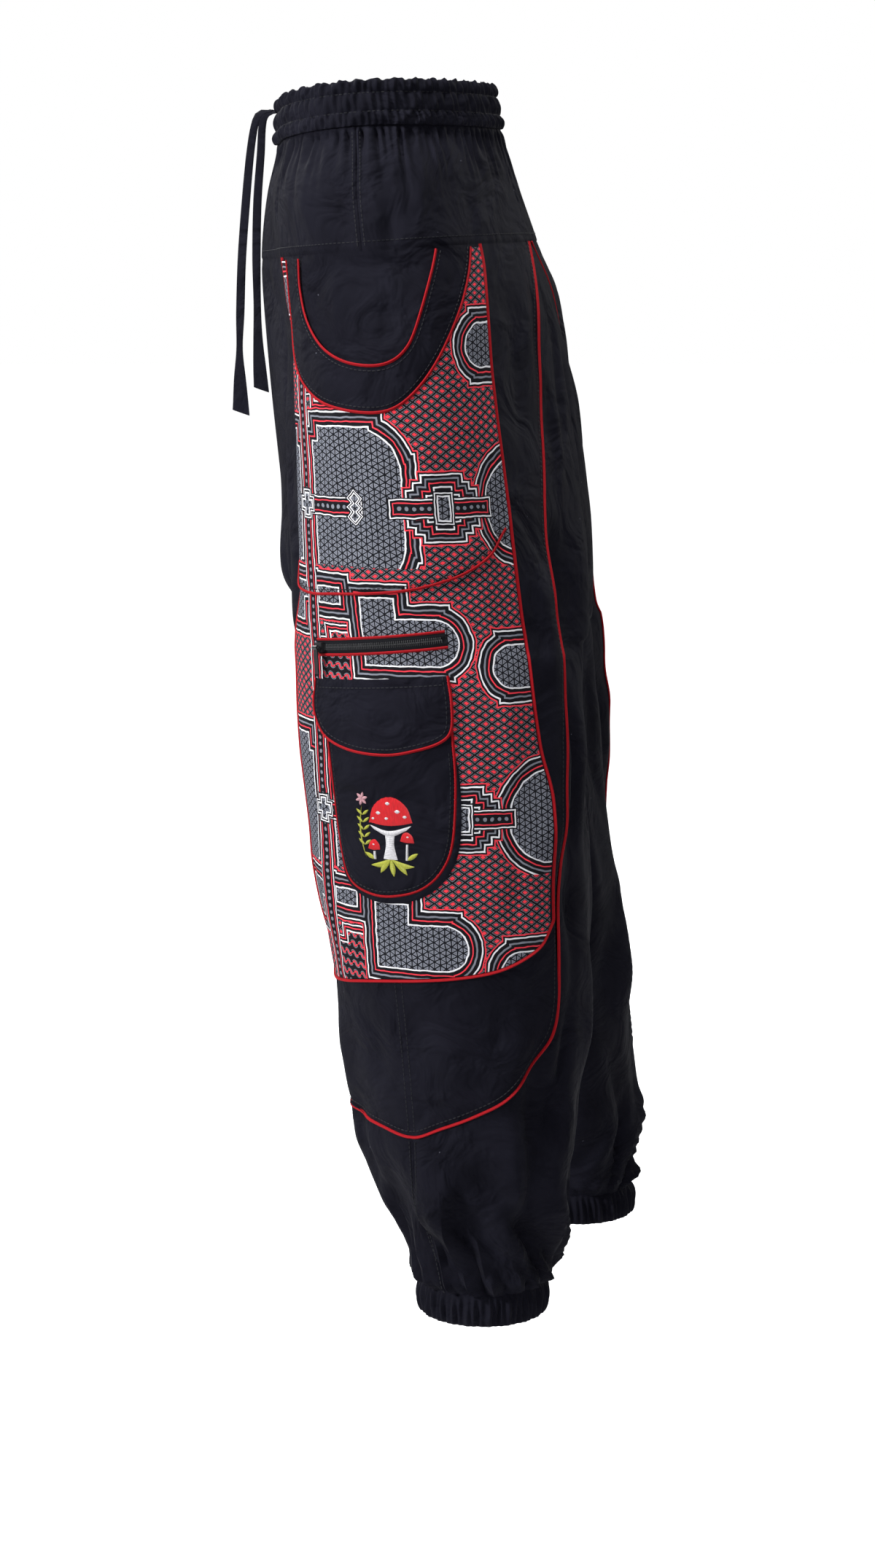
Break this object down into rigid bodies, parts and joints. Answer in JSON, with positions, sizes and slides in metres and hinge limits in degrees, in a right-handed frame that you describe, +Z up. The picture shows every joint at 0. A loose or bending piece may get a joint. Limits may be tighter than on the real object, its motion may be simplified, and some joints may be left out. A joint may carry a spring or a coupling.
{
  "type": "harem pants",
  "caption": "Hollow worn-shape harem pants with gathered elastic waist, dropped crotch, printed side panels, piped round, zip and cargo pockets, elastic cuffs and drawstring.",
  "frame": {"origin": "centre of the waist ring at half the waistband's height", "axes": "+X towards the wearer's left, +Z up, the front faces -Y"},
  "size_m": [0.4412, 0.3337, 1.0033],
  "materials": {
    "black_cotton": "matte woven cotton",
    "printed_cotton": "matte printed cotton; the print itself is in the visual",
    "red_piping": "covered cord, slightly satin",
    "zip_tape": "woven tape with moulded teeth",
    "zip_metal": "black enamelled metal"
  },
  "bodies": {
    "garment": {"cargo_flap_left": "black_cotton", "cargo_flap_right": "black_cotton", "cargo_piping_left": "red_piping", "cargo_piping_right": "red_piping", "cargo_pocket_left": "black_cotton", "cargo_pocket_right": "black_cotton", "cuff_left": "black_cotton", "cuff_right": "black_cotton", "drawstring_left": "black_cotton", "drawstring_right": "black_cotton", "flap_piping_left": "red_piping", "flap_piping_right": "red_piping", "leg_back_left": "black_cotton", "leg_back_right": "black_cotton", "leg_front_left": "black_cotton", "leg_front_right": "black_cotton", "outer_panel_left": "black_cotton", "outer_panel_right": "black_cotton", "panel_piping_left": "red_piping", "panel_piping_right": "red_piping", "pocket_band_left": "black_cotton", "pocket_band_right": "black_cotton", "pocket_edge_piping_left": "red_piping", "pocket_edge_piping_right": "red_piping", "pocket_hem_piping_left": "red_piping", "pocket_hem_piping_right": "red_piping", "pocket_mouth_piping_left": "red_piping", "pocket_mouth_piping_right": "red_piping", "pocket_patch_left": "printed_cotton", "pocket_patch_right": "printed_cotton", "print_panel_left": "printed_cotton", "print_panel_right": "printed_cotton", "print_piping_left": "red_piping", "print_piping_right": "red_piping", "waistband": "black_cotton", "yoke_back": "black_cotton", "yoke_front": "black_cotton", "zip_piping_lower_left": "red_piping", "zip_piping_lower_right": "red_piping", "zip_piping_upper_left": "red_piping", "zip_piping_upper_right": "red_piping", "zip_slider_left": "zip_metal", "zip_slider_right": "zip_metal", "zip_tape_left": "zip_tape", "zip_tape_right": "zip_tape"},
    "pull_left": {"zip_pull_left": "zip_metal"},
    "pull_right": {"zip_pull_right": "zip_metal"}
  },
  "joints": [
    {"name": "pull_left_hinge", "type": "hinge", "parent": "garment", "child": "pull_left", "pos_m": [0.1924, -0.01376, -0.42383], "axis": [-0.5995, -0.7935, -0.1044], "range_deg": [0, 150]},
    {"name": "pull_right_hinge", "type": "hinge", "parent": "garment", "child": "pull_right", "pos_m": [-0.19238, -0.03643, -0.42327], "axis": [-0.5943, 0.7975, 0.1035], "range_deg": [0, 150]}
  ]
}
